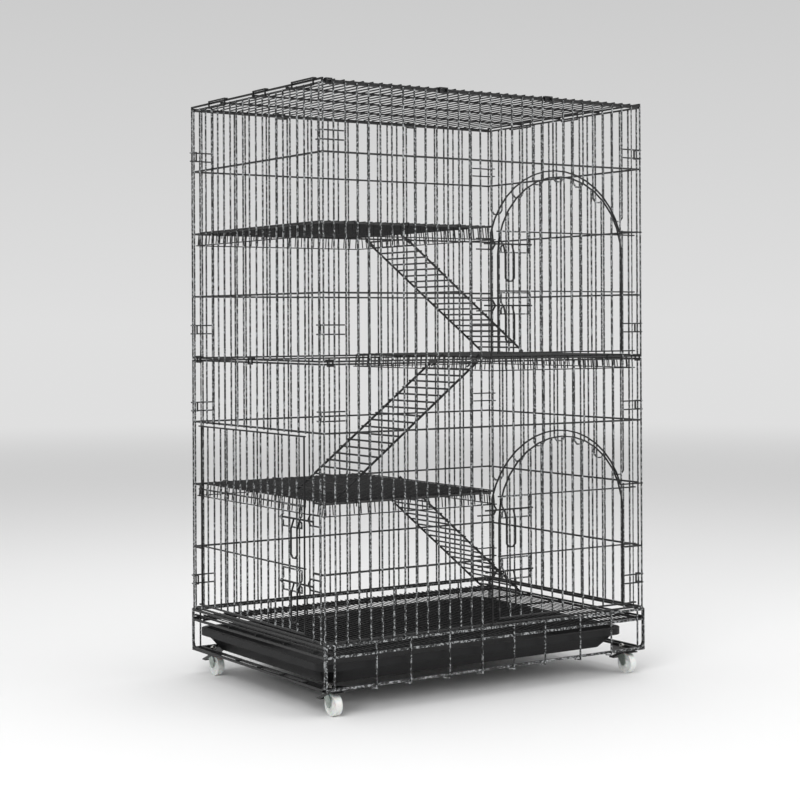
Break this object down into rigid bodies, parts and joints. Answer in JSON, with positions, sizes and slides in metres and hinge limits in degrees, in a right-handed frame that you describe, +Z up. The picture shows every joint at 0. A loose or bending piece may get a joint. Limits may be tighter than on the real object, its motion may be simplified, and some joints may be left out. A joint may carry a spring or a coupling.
{
  "type": "folding cat cage",
  "caption": "Two-tier wire cat cage on swivel casters with arched doors, sliding bolts, mesh shelves, ramps, lift-out floor grid and pull-out tray.",
  "frame": {"origin": "middle of the footprint on the floor the casters stand on", "axes": "+Z up, +X to the right and -Y toward someone facing the front doors"},
  "size_m": [0.9215, 0.6264, 1.3651],
  "materials": {
    "silver_vein_steel": "hammertone powder coat",
    "black_steel": "semi-gloss powder coat",
    "tray_plastic": "fine matt",
    "zinc_steel": "zinc plated",
    "wheel_plastic": "satin",
    "brake_plastic": "satin"
  },
  "bodies": {
    "cage": {"back_wall_lower": "silver_vein_steel", "back_wall_upper": "silver_vein_steel", "base_frame": "black_steel", "base_skirt_back": "silver_vein_steel", "base_skirt_front": "silver_vein_steel", "caster_bolts": "zinc_steel", "caster_nuts": "zinc_steel", "caster_plate_left_back": "black_steel", "caster_plate_left_front": "black_steel", "caster_plate_right_back": "black_steel", "caster_plate_right_front": "black_steel", "floor_grid": "black_steel", "front_doorway_wire_lower": "silver_vein_steel", "front_doorway_wire_upper": "silver_vein_steel", "front_wall_lower": "silver_vein_steel", "front_wall_upper": "silver_vein_steel", "left_wall_lower": "silver_vein_steel", "left_wall_upper": "silver_vein_steel", "right_wall_lower": "silver_vein_steel", "right_wall_upper": "silver_vein_steel", "roof_clips": "black_steel", "roof_grid": "black_steel", "shelf_lower": "black_steel", "shelf_middle": "black_steel", "tier_clips": "black_steel"},
    "front_door_upper": {"front_door_frame_upper": "silver_vein_steel", "front_door_wires_upper": "silver_vein_steel"},
    "front_door_lower": {"front_door_frame_lower": "silver_vein_steel", "front_door_wires_lower": "silver_vein_steel"},
    "side_door": {"side_door_frame": "silver_vein_steel", "side_door_wires": "silver_vein_steel"},
    "shelf_upper": {"shelf_upper": "black_steel"},
    "ramp_upper": {"ramp_upper": "black_steel"},
    "ramp_middle": {"ramp_middle": "black_steel"},
    "ramp_lower": {"ramp_lower": "black_steel"},
    "waste_tray": {"waste_tray": "tray_plastic"},
    "front_door_lower_bolt_bottom": {"front_door_lower_bolt_bottom": "silver_vein_steel"},
    "front_door_lower_bolt_top": {"front_door_lower_bolt_top": "silver_vein_steel"},
    "front_door_upper_bolt_bottom": {"front_door_upper_bolt_bottom": "silver_vein_steel"},
    "front_door_upper_bolt_top": {"front_door_upper_bolt_top": "silver_vein_steel"},
    "side_door_bolt_bottom": {"side_door_bolt_bottom": "silver_vein_steel"},
    "side_door_bolt_top": {"side_door_bolt_top": "silver_vein_steel"},
    "caster_fork_left_front": {"caster_fork_left_front": "zinc_steel", "caster_axle_left_front": "zinc_steel"},
    "caster_wheel_left_front": {"caster_wheel_left_front": "wheel_plastic"},
    "caster_brake_left_front": {"caster_brake_left_front": "brake_plastic"},
    "caster_fork_right_front": {"caster_fork_right_front": "zinc_steel", "caster_axle_right_front": "zinc_steel"},
    "caster_wheel_right_front": {"caster_wheel_right_front": "wheel_plastic"},
    "caster_brake_right_front": {"caster_brake_right_front": "brake_plastic"},
    "caster_fork_left_back": {"caster_fork_left_back": "zinc_steel", "caster_axle_left_back": "zinc_steel"},
    "caster_wheel_left_back": {"caster_wheel_left_back": "wheel_plastic"},
    "caster_brake_left_back": {"caster_brake_left_back": "brake_plastic"},
    "caster_fork_right_back": {"caster_fork_right_back": "zinc_steel", "caster_axle_right_back": "zinc_steel"},
    "caster_wheel_right_back": {"caster_wheel_right_back": "wheel_plastic"},
    "caster_brake_right_back": {"caster_brake_right_back": "brake_plastic"}
  },
  "joints": [
    {"name": "front_door_lower_hinge", "type": "hinge", "parent": "cage", "child": "front_door_lower", "pos_m": [0.42, -0.2985, 0.355], "axis": [0, 0, 1], "range_deg": [0, 165]},
    {"name": "front_door_lower_bolt_bottom_slide", "type": "slide", "parent": "front_door_lower", "child": "front_door_lower_bolt_bottom", "axis": [1, 0, 0], "range_m": [0, 0.043]},
    {"name": "front_door_lower_bolt_top_slide", "type": "slide", "parent": "front_door_lower", "child": "front_door_lower_bolt_top", "axis": [1, 0, 0], "range_m": [0, 0.043]},
    {"name": "front_door_upper_hinge", "type": "hinge", "parent": "cage", "child": "front_door_upper", "pos_m": [0.42, -0.2985, 0.955], "axis": [0, 0, 1], "range_deg": [0, 165]},
    {"name": "front_door_upper_bolt_bottom_slide", "type": "slide", "parent": "front_door_upper", "child": "front_door_upper_bolt_bottom", "axis": [1, 0, 0], "range_m": [0, 0.043]},
    {"name": "front_door_upper_bolt_top_slide", "type": "slide", "parent": "front_door_upper", "child": "front_door_upper_bolt_top", "axis": [1, 0, 0], "range_m": [0, 0.043]},
    {"name": "side_door_hinge", "type": "hinge", "parent": "cage", "child": "side_door", "pos_m": [-0.4485, 0.255, 0.38], "axis": [0, 0, -1], "range_deg": [0, 145]},
    {"name": "side_door_bolt_bottom_slide", "type": "slide", "parent": "side_door", "child": "side_door_bolt_bottom", "axis": [0, 1, 0], "range_m": [0, 0.043]},
    {"name": "side_door_bolt_top_slide", "type": "slide", "parent": "side_door", "child": "side_door_bolt_top", "axis": [0, 1, 0], "range_m": [0, 0.043]},
    {"name": "shelf_upper_lift", "type": "slide", "parent": "cage", "child": "shelf_upper", "axis": [0, 0, 1], "range_m": [0, 0.02]},
    {"name": "ramp_upper_hinge", "type": "hinge", "parent": "shelf_upper", "child": "ramp_upper", "pos_m": [0.014, 0.17, 1.05875], "axis": [0, -1, 0], "range_deg": [0, 10]},
    {"name": "ramp_middle_hinge", "type": "hinge", "parent": "cage", "child": "ramp_middle", "pos_m": [0.012, -0.16, 0.76175], "axis": [0, 1, 0], "range_deg": [0, 10]},
    {"name": "ramp_lower_hinge", "type": "hinge", "parent": "cage", "child": "ramp_lower", "pos_m": [0.014, 0.165, 0.45875], "axis": [0, -1, 0], "range_deg": [0, 9]},
    {"name": "waste_tray_slide", "type": "slide", "parent": "cage", "child": "waste_tray", "axis": [-1, 0, 0], "range_m": [0, 0.75]},
    {"name": "caster_swivel_left_front", "type": "hinge", "parent": "cage", "child": "caster_fork_left_front", "pos_m": [-0.415, -0.262, 0.05], "axis": [0, 0, 1], "continuous": true},
    {"name": "caster_roll_left_front", "type": "hinge", "parent": "caster_fork_left_front", "child": "caster_wheel_left_front", "pos_m": [-0.415, -0.28, 0.024], "axis": [1, 0, 0], "continuous": true},
    {"name": "caster_brake_rock_left_front", "type": "hinge", "parent": "caster_fork_left_front", "child": "caster_brake_left_front", "pos_m": [-0.415, -0.262, 0.043], "axis": [1, 0, 0], "range_deg": [0, 7]},
    {"name": "caster_swivel_right_front", "type": "hinge", "parent": "cage", "child": "caster_fork_right_front", "pos_m": [0.415, -0.262, 0.05], "axis": [0, 0, 1], "continuous": true},
    {"name": "caster_roll_right_front", "type": "hinge", "parent": "caster_fork_right_front", "child": "caster_wheel_right_front", "pos_m": [0.415, -0.28, 0.024], "axis": [1, 0, 0], "continuous": true},
    {"name": "caster_brake_rock_right_front", "type": "hinge", "parent": "caster_fork_right_front", "child": "caster_brake_right_front", "pos_m": [0.415, -0.262, 0.043], "axis": [1, 0, 0], "range_deg": [0, 7]},
    {"name": "caster_swivel_left_back", "type": "hinge", "parent": "cage", "child": "caster_fork_left_back", "pos_m": [-0.415, 0.262, 0.05], "axis": [0, 0, 1], "continuous": true},
    {"name": "caster_roll_left_back", "type": "hinge", "parent": "caster_fork_left_back", "child": "caster_wheel_left_back", "pos_m": [-0.415, 0.244, 0.024], "axis": [1, 0, 0], "continuous": true},
    {"name": "caster_brake_rock_left_back", "type": "hinge", "parent": "caster_fork_left_back", "child": "caster_brake_left_back", "pos_m": [-0.415, 0.262, 0.043], "axis": [1, 0, 0], "range_deg": [0, 7]},
    {"name": "caster_swivel_right_back", "type": "hinge", "parent": "cage", "child": "caster_fork_right_back", "pos_m": [0.415, 0.262, 0.05], "axis": [0, 0, 1], "continuous": true},
    {"name": "caster_roll_right_back", "type": "hinge", "parent": "caster_fork_right_back", "child": "caster_wheel_right_back", "pos_m": [0.415, 0.244, 0.024], "axis": [1, 0, 0], "continuous": true},
    {"name": "caster_brake_rock_right_back", "type": "hinge", "parent": "caster_fork_right_back", "child": "caster_brake_right_back", "pos_m": [0.415, 0.262, 0.043], "axis": [1, 0, 0], "range_deg": [0, 7]}
  ]
}
